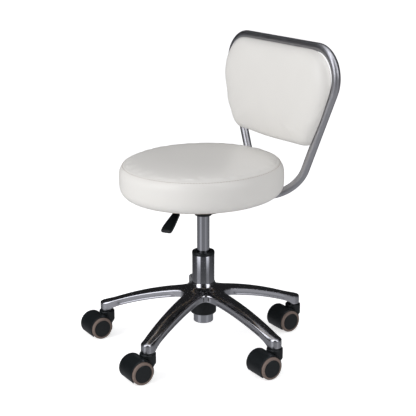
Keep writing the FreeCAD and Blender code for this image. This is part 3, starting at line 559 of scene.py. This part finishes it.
@dataclass
class StarBase:
    """Die-cast base: five arched channel legs that flow into a flared hub."""

    stems: list[Vector]
    root_start: float = 22 * MM
    root_top: float = 131 * MM
    tip_top: float = 80 * MM
    arch_rise: float = 9 * MM
    root_half: float = 21 * MM
    tip_half: float = 14.5 * MM
    crown: float = 2.2 * MM
    edge_drop: float = 3.4 * MM
    leg_depth: float = 17 * MM
    skirt_bottom: float = 111 * MM
    web_radius: float = 43 * MM
    boss_radius: float = 15.7 * MM
    boss_bottom: float = 57.2 * MM
    wall: float = 2.5 * MM
    socket_bottom: float = 72 * MM
    socket_top: float = 128 * MM
    socket_bore: float = 22.5 * MM
    socket_radius: float = 29 * MM
    socket_flare: float = 1 * MM
    socket_edge: float = 1.2 * MM
    recess_start: float = 62 * MM
    recess_end: float = 200 * MM
    recess_drop: tuple[float, float] = (8 * MM, 13 * MM)    # of its edges under the ridge
    recess_border: float = 1.6 * MM
    recess_depth: float = 1 * MM
    merge_distance: float = 0.4 * MM

    # radius and height in millimetres of the hub's rings, from the tube outward
    hub_rings: Pairs = (
        (25.3, 146), (26.3, 145.2), (27.6, 141), (30.5, 136.8),
        (36, 133.4), (43, 130.0))
    # millimetres from the axis of each cross-section of the leg
    leg_stations: tuple[float, ...] = (54, 66, 82, 100, 120, 140, 160, 180, 198, 212)
    # share of the half width of each lengthwise line, from the middle to an edge
    across_shares: tuple[float, ...] = (0.0, 0.42, 0.82, 1.0)
    # share of the skirt's height that each band of wall starts and ends at
    wall_bands: Pairs = ((0.0, 0.2), (0.2, 0.8), (0.8, 1.0))
    # height of the top and of the skirt's edge over and under each wall vertex, by its number
    heights: dict[int, tuple[float, float]] = field(default_factory=dict)

    @property
    def rows(self) -> int:
        """Rows of the top surface: the hub's rings, the leg's sections and two arcs of the tip."""
        return len(self.hub_rings) + len(self.leg_stations) + 2

    @property
    def edge(self) -> int:
        """Lengthwise lines from the middle of the leg to an edge."""
        return len(self.across_shares) - 1

    @property
    def reach(self) -> float:
        """Distance of the caster stems from the column axis."""
        return Vector(self.stems[0][:2]).length

    def leg_top(self, along: float) -> float:
        """Height of the leg's ridge at a distance from the axis."""
        share = (along - self.root_start) / (self.reach - self.root_start)
        return (self.root_top + share * (self.tip_top - self.root_top)
                + 4 * self.arch_rise * share * (1 - share))

    def sector_point(self, row: int, column: int) -> Vector:
        """Point of the top surface of one leg's fifth of the base.

        Args:
            row: Hub rings first, then leg stations, then the two arcs of the tip.
            column: Across, from one edge to the other.

        Returns:
            The point, with the leg along +X.
        """
        side = column - self.edge
        rings = len(self.hub_rings)
        share = math.copysign(self.across_shares[abs(side)], side)
        if row < rings:
            radius, height = (length * MM for length in self.hub_rings[row])
            turn = side / self.edge * math.pi / CASTERS
            if abs(side) == self.edge:
                height -= self.edge_drop * max(0, row - 2) / (rings - 3)
            return Vector((radius * math.cos(turn), radius * math.sin(turn), height))
        if row < rings + len(self.leg_stations):
            along = self.leg_stations[row - rings] * MM
            part = (along - self.root_start) / (self.reach - self.root_start)
            half = self.root_half + part * (self.tip_half - self.root_half)
            drop = self.edge_drop if abs(side) == self.edge else self.crown * share * share
            return Vector((along, half * share, self.leg_top(along) - drop))
        outer = row == rings + len(self.leg_stations) + 1
        radius = self.boss_radius - (0.6 * MM if outer else 3.5 * MM)
        turn = side / self.edge * math.pi / 2
        height = self.leg_top(self.reach) - (self.edge_drop if outer else 1.2 * MM)
        if abs(side) == self.edge:
            height = self.leg_top(self.reach) - self.edge_drop
            radius = self.boss_radius - 0.9 * MM
            back = 0 if outer else 7 * MM
            return Vector((self.reach - back, math.copysign(radius, side), height + back * 0.2))
        return Vector((self.reach + radius * math.cos(turn), radius * math.sin(turn), height))

    def wall_bottom(self, point: Vector) -> float:
        """Height of the skirt's lower edge under a point of the top's outline."""
        along = point.x
        if along <= self.web_radius:
            return self.skirt_bottom
        low = self.leg_top(along) - self.leg_depth - 2 * MM
        near_tip = min(1.0, max(0.0, (along - (self.reach - 20 * MM)) / (14 * MM)))
        return low + (self.boss_bottom - low) * near_tip * near_tip * (3 - 2 * near_tip)

    def add_walls(self, sector: Piece) -> None:
        """Extrude the outline of one sector down into its side walls."""
        mesh = sector.data
        first, rows, last = len(self.hub_rings) - 1, self.rows, 2 * self.edge
        rim = {column * rows + row for column in (0, last) for row in range(first, rows)}
        rim |= {column * rows + rows - 1 for column in range(last + 1)}
        for start, end in self.wall_bands:
            tops = {}
            deselect(mesh)
            for edge in mesh.edges:
                edge.select = all(index in rim for index in edge.vertices)
            for index in rim:
                mesh.vertices[index].select = True
            count = len(mesh.vertices)
            bpy.ops.object.mode_set(mode="EDIT")
            bpy.ops.mesh.extrude_region_move(TRANSFORM_OT_translate={"value": (0, 0, 0)})
            bpy.ops.object.mode_set(mode="OBJECT")
            fresh = range(count, len(mesh.vertices))
            for edge in mesh.edges:
                ends = sorted(edge.vertices)
                if ends[0] in rim and ends[1] in fresh:
                    tops[ends[1]] = ends[0]
            rim = set(fresh)
            for index in fresh:
                point = mesh.vertices[index].co
                top = self.heights[tops[index]][0] if start else point.z
                low = self.wall_bottom(point)
                self.heights[index] = (top, low)
                point.z = top + (low - top) * end

    def build(self) -> Piece:
        """Model one leg with its share of the hub, repeat it and give the casting its wall."""
        sector = shaped_grid("star_base_casting", self.rows, 2 * self.edge + 1, self.sector_point)
        self.add_walls(sector)
        self.recess_walls(sector)
        first = math.atan2(self.stems[0].y, self.stems[0].x)
        others = [copy_of(sector, Matrix.Rotation(first + number * math.tau / CASTERS, 4, "Z"))
                  for number in range(1, CASTERS)]
        sector.data.transform(Matrix.Rotation(first, 4, "Z"))
        casting = join([sector, *others])
        close_up(casting, self.merge_distance)
        apply_modifier(casting, "SOLIDIFY", thickness=self.wall, offset=-1.0, use_even_offset=True)
        apply_modifier(casting, "SUBSURF", levels=2, render_levels=2)
        return settle(casting, smooth=60)

    def socket(self) -> Piece:
        """Turn the socket under the hub, which grips the neck of the column."""
        bore, outer, low, top = self.socket_bore, self.socket_radius, self.socket_bottom, self.socket_top
        return settle(turned("hub_socket_painted_shade", [
            (bore, low), (outer - self.socket_edge, low), (outer, low + self.socket_edge),
            (outer + self.socket_flare, top), (bore, top), (bore, low)]))

    def recess_walls(self, sector: Piece) -> None:
        """Sink a long shallow panel into each side of the leg."""
        for side in (-1, 1):
            pick(sector, lambda centre, normal, side=side: abs(normal.z) < 0.5 and centre.y * side > 0
                 and self.recess_start < centre.x < self.recess_end
                 and -self.recess_drop[1] < centre.z - self.leg_top(centre.x) < -self.recess_drop[0])
            bpy.ops.object.mode_set(mode="EDIT")
            bpy.ops.mesh.inset(thickness=self.recess_border, depth=-self.recess_depth)
            bpy.ops.object.mode_set(mode="OBJECT")


# ---- gas spring

@dataclass
class GasSpring:
    """Chromed outer tube with its moulded cap, and the bright cylinder that slides in it."""

    edge: float = 0.8 * MM
    neck_radius: float = 22.3 * MM
    neck_height: float = 71 * MM
    neck_wall: float = 2.4 * MM
    shoulder: float = 6 * MM
    wall: float = 2 * MM
    cap_lip: float = 8 * MM
    cap_step: float = 2.6 * MM
    cap_gap: float = 0.5 * MM
    rod_bore: float = 3.1 * MM
    top_plug: float = 8 * MM

    def column(self) -> Piece:
        """Turn the outer tube, necked in where it sits in the hub."""
        low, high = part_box("column_tube")
        radius, neck = high.x, self.neck_radius
        bore, neck_bore, body = radius - self.wall, neck - self.neck_wall, self.neck_height + self.shoulder
        return settle(turned("outer_column", [
            (neck_bore, low.z), (neck - self.edge, low.z), (neck, low.z + self.edge),
            (neck, self.neck_height - self.edge), (neck, self.neck_height),
            (radius, body), (radius, body + self.edge), (radius, high.z - self.edge),
            (radius - self.edge / 2, high.z), (bore, high.z), (bore, body + 2 * MM),
            (neck_bore, self.neck_height), (neck_bore, low.z)]))

    def cap(self) -> Piece:
        """Turn the black cap that closes the top of the column."""
        low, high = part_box("column_cap")
        radius, bore = high.x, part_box("lift_cylinder")[1].x + self.cap_gap
        step, plug = high.z - self.cap_lip, radius - self.cap_step
        return settle(turned("column_cap_moulding", [
            (bore, low.z), (plug, low.z), (plug, step), (radius - 0.4 * MM, step),
            (radius, step + 0.4 * MM), (radius, high.z - 2.4 * MM), (radius - 0.7 * MM, high.z - 0.8 * MM),
            (radius - 2.4 * MM, high.z), (bore + 2.5 * MM, high.z), (bore + 0.6 * MM, high.z - 0.8 * MM),
            (bore, high.z - 2 * MM), (bore, low.z)]))

    def cylinder(self) -> Piece:
        """Turn the lift cylinder with its rolled ends."""
        low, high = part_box("lift_cylinder")
        radius, bore, plug = high.x, high.x - self.wall, high.z - self.top_plug
        return settle(turned("lift_cylinder_tube", [
            (bore, low.z), (radius - self.edge, low.z), (radius, low.z + self.edge),
            (radius, high.z - self.edge), (radius - self.edge, high.z), (self.rod_bore, high.z),
            (self.rod_bore, plug), (bore, plug), (bore, low.z)]))

    def build(self) -> None:
        """Model the three visible pieces and put them on their bodies."""
        mount(self.column(), CHROME, "base", "chrome_steel", "column_tube")
        mount(self.cap(), BLACK_NYLON, "base", "black_nylon", "column_cap")
        mount(self.cylinder(), CHROME, "seat", "chrome_steel", "lift_cylinder")


# ---- seat

@dataclass
class SeatCushion:
    """Round seat: a crowned top panel sewn to a bulging side band, over a plywood board."""

    seat_frame: Matrix
    centre_shift: float = 3.5 * MM
    seam_radius: float = 167.5 * MM
    seam_height: float = 70.3 * MM
    bulge: float = 13.1 * MM
    under_round: float = 1.0 * MM
    crown: float = 7.9 * MM
    board_radius: float = 165.6 * MM
    recess: float = 12.4 * MM
    felt_margin: float = 7 * MM
    felt_thickness: float = 1 * MM
    swell_limit: float = 2.8 * MM
    stitch_length: float = 3.0 * MM
    stitch_pitch: float = 6.2 * MM
    stitch_drop: float = 2.8 * MM
    thread_width: float = 1.4 * MM
    thread_rise: float = 1.2 * MM
    steps: int = 144

    # millimetres out from the seam's corner and above it, from the band over the crease to the top panel
    seam_rings: Pairs = (
        (0.6, -0.4), (-2.2, -0.1), (-0.9, 1.2), (-2.4, 2.3),
        (-5.6, 2.9))

    def side(self, share: float) -> tuple[float, float]:
        """Radius and height of the side band at a share of its height."""
        height = self.seam_height * share + self.under_round * (1 - share) ** 6
        return self.seam_radius + self.bulge * (1 - abs(2 * share - 1) ** 4), height

    def top(self, share: float) -> tuple[float, float]:
        """Radius and height of the top panel at a share of the way in from the seam."""
        radius = self.seam_radius * (1 - share)
        return radius, self.seam_height + self.crown * (1 - (1 - share) ** 4.5)

    def profile(self) -> list[tuple[float, float]]:
        """Outline from the recess under the board, out, up the band and in over the top."""
        under = [(0, self.recess), (self.board_radius / 2, self.recess), (self.board_radius, self.recess),
                 (self.board_radius, self.recess / 2), (self.board_radius, 0.15 * MM)]
        band = [self.side(share) for share in (0, 0.03, 0.08, 0.15, 0.24, 0.34, 0.44, 0.54, 0.64, 0.74, 0.83,
                                               0.90, 0.95, 0.98)]
        seam = [(self.seam_radius + out * MM, self.seam_height + up * MM) for out, up in self.seam_rings]
        panel = [self.top(share) for share in (0.06, 0.10, 0.15, 0.21, 0.28, 0.36, 0.45, 0.55, 0.65, 0.76,
                                               0.88, 1.0)]
        return under + band + seam + panel

    def held(self, point: Vector) -> bool:
        """Whether the cover is sewn or stapled down at a point."""
        radius = Vector(point[:2]).length
        on_seam = abs(point.z - self.seam_height) < 0.5 * MM and abs(radius - self.seam_radius) < 2.5 * MM
        on_rim = point.z < self.under_round + 0.1 * MM and radius < self.seam_radius + 1 * MM
        on_board = radius < self.board_radius + 1 * MM and point.z < self.recess + 1 * MM
        return on_seam or on_rim or on_board

    def cushion(self) -> Piece:
        """Turn the cover with its creased seam and swell it with its foam."""
        piece = turned("seat_cover", self.profile(), self.steps)
        swell(piece, self.held, self.swell_limit)
        apply_modifier(piece, "SUBSURF", levels=1, render_levels=1)
        return piece

    def stitches(self, cushion: Piece) -> Piece:
        """Sew a row of stitches on the finished cover's band, just under the seam."""
        level = self.seam_height - self.stitch_drop
        reach = max(Vector(vertex.co[:2]).length for vertex in cushion.data.vertices
                    if abs(vertex.co.z - level) < 1.2 * MM)
        stitch = new_piece("seat_topstitching", bpy.ops.mesh.primitive_uv_sphere_add, segments=6,
                           ring_count=4, radius=0.5, location=(reach, 0, level),
                           scale=(self.thread_rise, self.stitch_length, self.thread_width))
        bpy.ops.object.transform_apply()
        count = round(math.tau * reach / self.stitch_pitch)
        copies = [copy_of(stitch, Matrix.Rotation(math.tau * number / count, 4, "Z"))
                  for number in range(1, count)]
        return join([stitch, *copies])

    def dust_cover(self) -> Piece:
        """Turn the thin felt disc stapled under the board, a little inside the cushion's rim."""
        edge, low, high = self.board_radius - self.felt_margin, -self.felt_thickness, -0.1 * MM
        return turned("seat_dust_felt", [
            (0, low), (edge - 0.5 * MM, low), (edge, low / 2), (edge, high), (0, high)], self.steps)

    def build(self) -> None:
        """Model the cover and its thread and put them in the seat frame."""
        cushion = self.cushion()
        thread = self.stitches(cushion)
        place = self.seat_frame @ Matrix.Translation((0, -self.centre_shift, 0))
        settle(cushion, place, 50)
        settle(thread, place, 60)
        mount(cushion, WHITE_VINYL, "seat", "white_vinyl", "seat_cushion")
        mount(thread, THREAD, "seat", "white_vinyl")
        mount(settle(self.dust_cover(), place), COVER_CLOTH, "seat", "cover_cloth", "dust_cover")


# ---- backrest

@dataclass
class Backrest:
    """Bent tube loop with a padded panel in front of it."""

    seat_frame: Matrix
    tube_radius: float = 9.5 * MM
    tube_wall: float = 1.5 * MM
    tube_drop: float = 17.7 * MM
    tail: tuple[float, float] = (13.9 * MM, 43.4 * MM)
    foot: tuple[float, float] = (82.2 * MM, 193.3 * MM)
    head: tuple[float, float] = (232 * MM, 214.3 * MM)
    loop_height: float = 330 * MM
    foot_bend: float = 82 * MM
    head_bend: float = 65.2 * MM
    pad_bottom: float = 116.5 * MM
    top_inset: float = 3 * MM
    side_overhang: float = 2 * MM
    back_bow: float = 1.5 * MM
    front_bow: float = 4.5 * MM
    back_corners: tuple[float, float] = (60 * MM, 9 * MM)
    front_corners: tuple[float, float] = (96 * MM, 58 * MM)
    back_gap: float = 9.9 * MM
    staple_line: float = 13.8 * MM
    swell_limit: float = 2.2 * MM
    corner_steps: int = 14
    side_steps: int = 18

    # inset from the outline and distance in front of the loop's plane, in millimetres, from the back edge
    edge_rings: Pairs = (
        (7, 9.9), (4, 9.9), (1.6, 10.6), (0.4, 12.0),
        (0.9, 13.4), (0.2, 15.0), (0, 18.5), (0.3, 22.5),
        (1.4, 26.2), (3.8, 29.8), (7.2, 32.8), (11.2, 35.2),
        (15.6, 37.0))
    # share of the way out from the middle and millimetres in front, from the edge inward
    front_rings: Pairs = (
        (0.90, 38.9), (0.78, 40.5), (0.64, 41.8), (0.48, 42.7), (0.32, 43.3),
        (0.16, 43.6), (0.0, 43.7))
    # share of the way out from the middle of the flat back
    back_rings: tuple[float, ...] = (0.0, 0.4, 0.75)

    def loop_points(self) -> list[Vector]:
        """Corner points of the tube's centreline in the seat frame."""
        near = [Vector((*self.tail, -self.tube_drop)), Vector((*self.foot, -self.tube_drop)),
                Vector((*self.head, self.loop_height - self.tube_drop))]
        return [Vector((-point.x, point.y, point.z)) for point in near] + near[::-1]

    def tube(self) -> Piece:
        """Draw a ring out along the straight runs and spin it round the bends."""
        points = self.loop_points()
        along = (points[1] - points[0]).normalized()
        ring = new_piece("backrest_loop", bpy.ops.mesh.primitive_circle_add, vertices=40,
                         radius=self.tube_radius, location=points[0],
                         rotation=along.to_track_quat("Z", "X").to_euler())
        bpy.ops.object.transform_apply()
        bpy.ops.object.mode_set(mode="EDIT")
        bpy.ops.mesh.select_all(action="SELECT")
        here = points[0]
        radii = (self.foot_bend, self.head_bend, self.head_bend, self.foot_bend)
        for before, corner, after, radius in zip(points, points[1:], points[2:], radii):
            inward, outward = (before - corner).normalized(), (after - corner).normalized()
            half = inward.angle(outward) / 2
            start = corner + inward * (radius / math.tan(half))
            bpy.ops.mesh.extrude_region_move(TRANSFORM_OT_translate={"value": start - here})
            centre = corner + (inward + outward).normalized() * (radius / math.sin(half))
            turn = math.pi - 2 * half
            axis = (-inward).cross(outward).normalized()
            # the operator turns clockwise about its axis
            bpy.ops.mesh.spin(steps=max(6, round(math.degrees(turn) / 4)), angle=-turn, center=centre,
                              axis=axis)
            here = corner + outward * (radius / math.tan(half))
        bpy.ops.mesh.extrude_region_move(TRANSFORM_OT_translate={"value": points[-1] - here})
        bpy.ops.object.mode_set(mode="OBJECT")
        close_up(ring)
        apply_modifier(ring, "SOLIDIFY", thickness=self.tube_wall, offset=-1.0)
        return settle(ring, self.seat_frame, 40)

    def outline(self, top_corner: float, bottom_corner: float,
                side_bow: float) -> list[tuple[Vector, Vector]]:
        """Points round the pad with their outward normals, in the backrest plane.

        Args:
            top_corner: Radius of the two upper corners.
            bottom_corner: Radius of the two lower corners.
            side_bow: How far the sides and the lower edge swell outward.

        Returns:
            Point and normal pairs, counter-clockwise seen from the front.
        """
        slope = (self.head[0] - self.foot[0]) / self.loop_height
        top = self.loop_height - self.top_inset

        def half(level: float) -> float:
            """Half the pad's width at a height."""
            return self.foot[0] + slope * level + self.side_overhang * math.sqrt(1 + slope * slope)

        corners = [Vector((half(self.pad_bottom), self.pad_bottom)), Vector((half(top), top)),
                   Vector((-half(top), top)), Vector((-half(self.pad_bottom), self.pad_bottom))]
        radii = (bottom_corner, top_corner, top_corner, bottom_corner)
        arcs = []
        for number, (corner, radius) in enumerate(zip(corners, radii)):
            inward = (corners[number - 1] - corner).normalized()
            outward = (corners[(number + 1) % 4] - corner).normalized()
            half_turn = inward.angle(outward) / 2
            centre = corner + (inward + outward).normalized() * (radius / math.sin(half_turn))
            first = Vector((-inward.y, inward.x))
            turn = math.pi - 2 * half_turn
            arc = []
            for step in range(self.corner_steps + 1):
                normal = Matrix.Rotation(turn * step / self.corner_steps, 2) @ first
                arc.append((centre + normal * radius, normal))
            arcs.append(arc)
        points = []
        for number, arc in enumerate(arcs):
            start, following = arc[-1], arcs[(number + 1) % 4][0]
            points += arc
            bow = 0 if number == 1 else side_bow
            for step in range(1, self.side_steps):
                share = step / self.side_steps
                out = start[1] * bow * 16 * share ** 2 * (1 - share) ** 2
                points.append((start[0].lerp(following[0], share) + out, start[1]))
        return points

    def pad_point(self, outlines: tuple[list, list], middle: Vector, row: int, column: int) -> Vector:
        """Point of the pad's cover.

        Args:
            outlines: Points and normals round the back of the pad and round its front.
            middle: Where the rings shrink to.
            row: Ring, from the middle of the back round the edge to the middle of the front.
            column: Place round the pad.

        Returns:
            The point in the backrest frame, whose -Y is forward.
        """
        (back_edge, back_normal), (front_edge, front_normal) = (
            outline[column % len(outline)] for outline in outlines)
        backs = len(self.back_rings)
        inner = min(max(row - backs, 0), len(self.edge_rings) - 1)
        inset, forward = (length * MM for length in self.edge_rings[inner])
        blend = inner / (len(self.edge_rings) - 1)
        normal = back_normal.lerp(front_normal, blend).normalized()
        flat = back_edge.lerp(front_edge, blend) - normal * inset
        if row < backs:
            forward = self.back_gap
            flat = middle.lerp(flat, self.back_rings[row])
        elif row >= backs + len(self.edge_rings):
            share, front = self.front_rings[row - backs - len(self.edge_rings)]
            forward = front * MM
            flat = middle.lerp(flat, share)
        return Vector((flat.x, -forward, flat.y))

    def held(self, point: Vector) -> bool:
        """Whether the cover is stapled or sewn down at a point of the backrest frame."""
        return point.y > -self.staple_line

    def pad(self) -> Piece:
        """Shape the cover from rings round the outline and swell it with its foam."""
        outlines = (self.outline(*self.back_corners, self.back_bow),
                    self.outline(*self.front_corners, self.front_bow))
        middle = Vector((0, (self.pad_bottom + self.loop_height) / 2))
        rows = len(self.back_rings) + len(self.edge_rings) + len(self.front_rings)
        piece = shaped_grid("backrest_cover", rows, len(outlines[0]) + 1,
                            lambda row, column: self.pad_point(outlines, middle, row, column))
        close_up(piece, 0.01 * MM)
        swell(piece, self.held, self.swell_limit)
        apply_modifier(piece, "SMOOTH", factor=0.5, iterations=6)
        apply_modifier(piece, "SUBSURF", levels=1, render_levels=1)
        return piece

    def build(self) -> None:
        """Model the tube and the pad and put them on the seat."""
        lean = -math.atan2(self.head[1] - self.foot[1], self.loop_height)
        place = (self.seat_frame @ Matrix.Translation((0, self.foot[1], -self.tube_drop))
                 @ Matrix.Rotation(lean, 4, "X"))
        pad = settle(self.pad(), place, 50)
        mount(self.tube(), BRUSHED_TUBE, "seat", "brushed_tube", "backrest_tube")
        mount(pad, WHITE_VINYL, "seat", "white_vinyl", "backrest_cushion")


@dataclass
class LeverBlade:
    """Flat black blade on the end of the lever, wider and thinner toward its square tip."""

    middle: Vector = field(default_factory=lambda: Vector((50.8, -111.7, 312.6)) * MM)
    along: Vector = field(default_factory=lambda: Vector((0.458, -0.753, -0.473)))
    across: Vector = field(default_factory=lambda: Vector((-0.857, -0.515, -0.011)))
    columns: int = 48
    squareness: float = 0.28

    # millimetres along the blade, of half width and of half thickness, from the root to the tip
    sections: tuple[tuple[float, float, float], ...] = (
        (-29.0, 0.0, 0.0), (-29.0, 5.6, 3.2), (-28.4, 6.8, 4.1), (-26.5, 7.4, 4.4), (-18, 8.4, 4.4),
        (-8, 9.6, 4.4), (2, 10.8, 4.4), (12, 11.7, 4.4), (21, 12.0, 4.2), (26, 11.8, 3.8),
        (28.4, 11.3, 3.4), (29.4, 10.4, 2.8), (29.4, 0.0, 0.0))

    def point(self, row: int, column: int) -> Vector:
        """Point of the blade, whose sections are rounded rectangles."""
        reach, half_width, half_thick = self.sections[row]
        turn = math.tau * column / (self.columns - 1)
        wide = math.copysign(abs(math.cos(turn)) ** self.squareness, math.cos(turn)) * half_width
        thick = math.copysign(abs(math.sin(turn)) ** self.squareness, math.sin(turn)) * half_thick
        away = self.along * reach + self.across * wide + self.along.cross(self.across) * thick
        return self.middle + away * MM

    def build(self) -> None:
        """Model the blade and put it on the lever."""
        blade = shaped_grid("lever_blade", len(self.sections), self.columns, self.point)
        close_up(blade, 0.01 * MM)
        mount(settle(blade, smooth=50), BLACK_NYLON, "lever", "black_nylon", "lever_paddle")


def main() -> None:
    """Build every sub-assembly and report it."""
    logging.basicConfig(level=logging.INFO, format="%(name)s: %(message)s")
    Studio().build()
    nodes = frame["nodes"]
    stems = [Vector(joint["pos_m"]) for joint in frame["joints"]
             if joint["name"].startswith("caster") and joint["name"].endswith("_swivel")]
    for finish, names in CAD_FINISHES.items():
        finish.dress(*(nodes[name] for name in names))
    for finish, names in CASTER_FINISHES.items():
        finish.dress(*(nodes[f"caster_{number}_{name}"] for number in range(1, CASTERS + 1)
                       for name in names))
    seat_frame = Matrix.Translation((0, 0, SEAT_HEIGHT)) @ Matrix.Rotation(math.radians(SEAT_PITCH), 4, "X")
    base = StarBase(stems)
    mount(base.build(), POLISHED_ALUMINIUM, "base", "polished_aluminium", "star_base")
    # the socket is dressed black as painted shade: it darkens the shaded hollow under the hub, where the cast
    # metal would show bright
    mount(base.socket(), BLACK_STEEL, "base", "black_steel")
    GasSpring().build()
    SeatCushion(seat_frame).build()
    Backrest(seat_frame).build()
    LeverBlade().build()


if __name__ == "__main__":
    main()
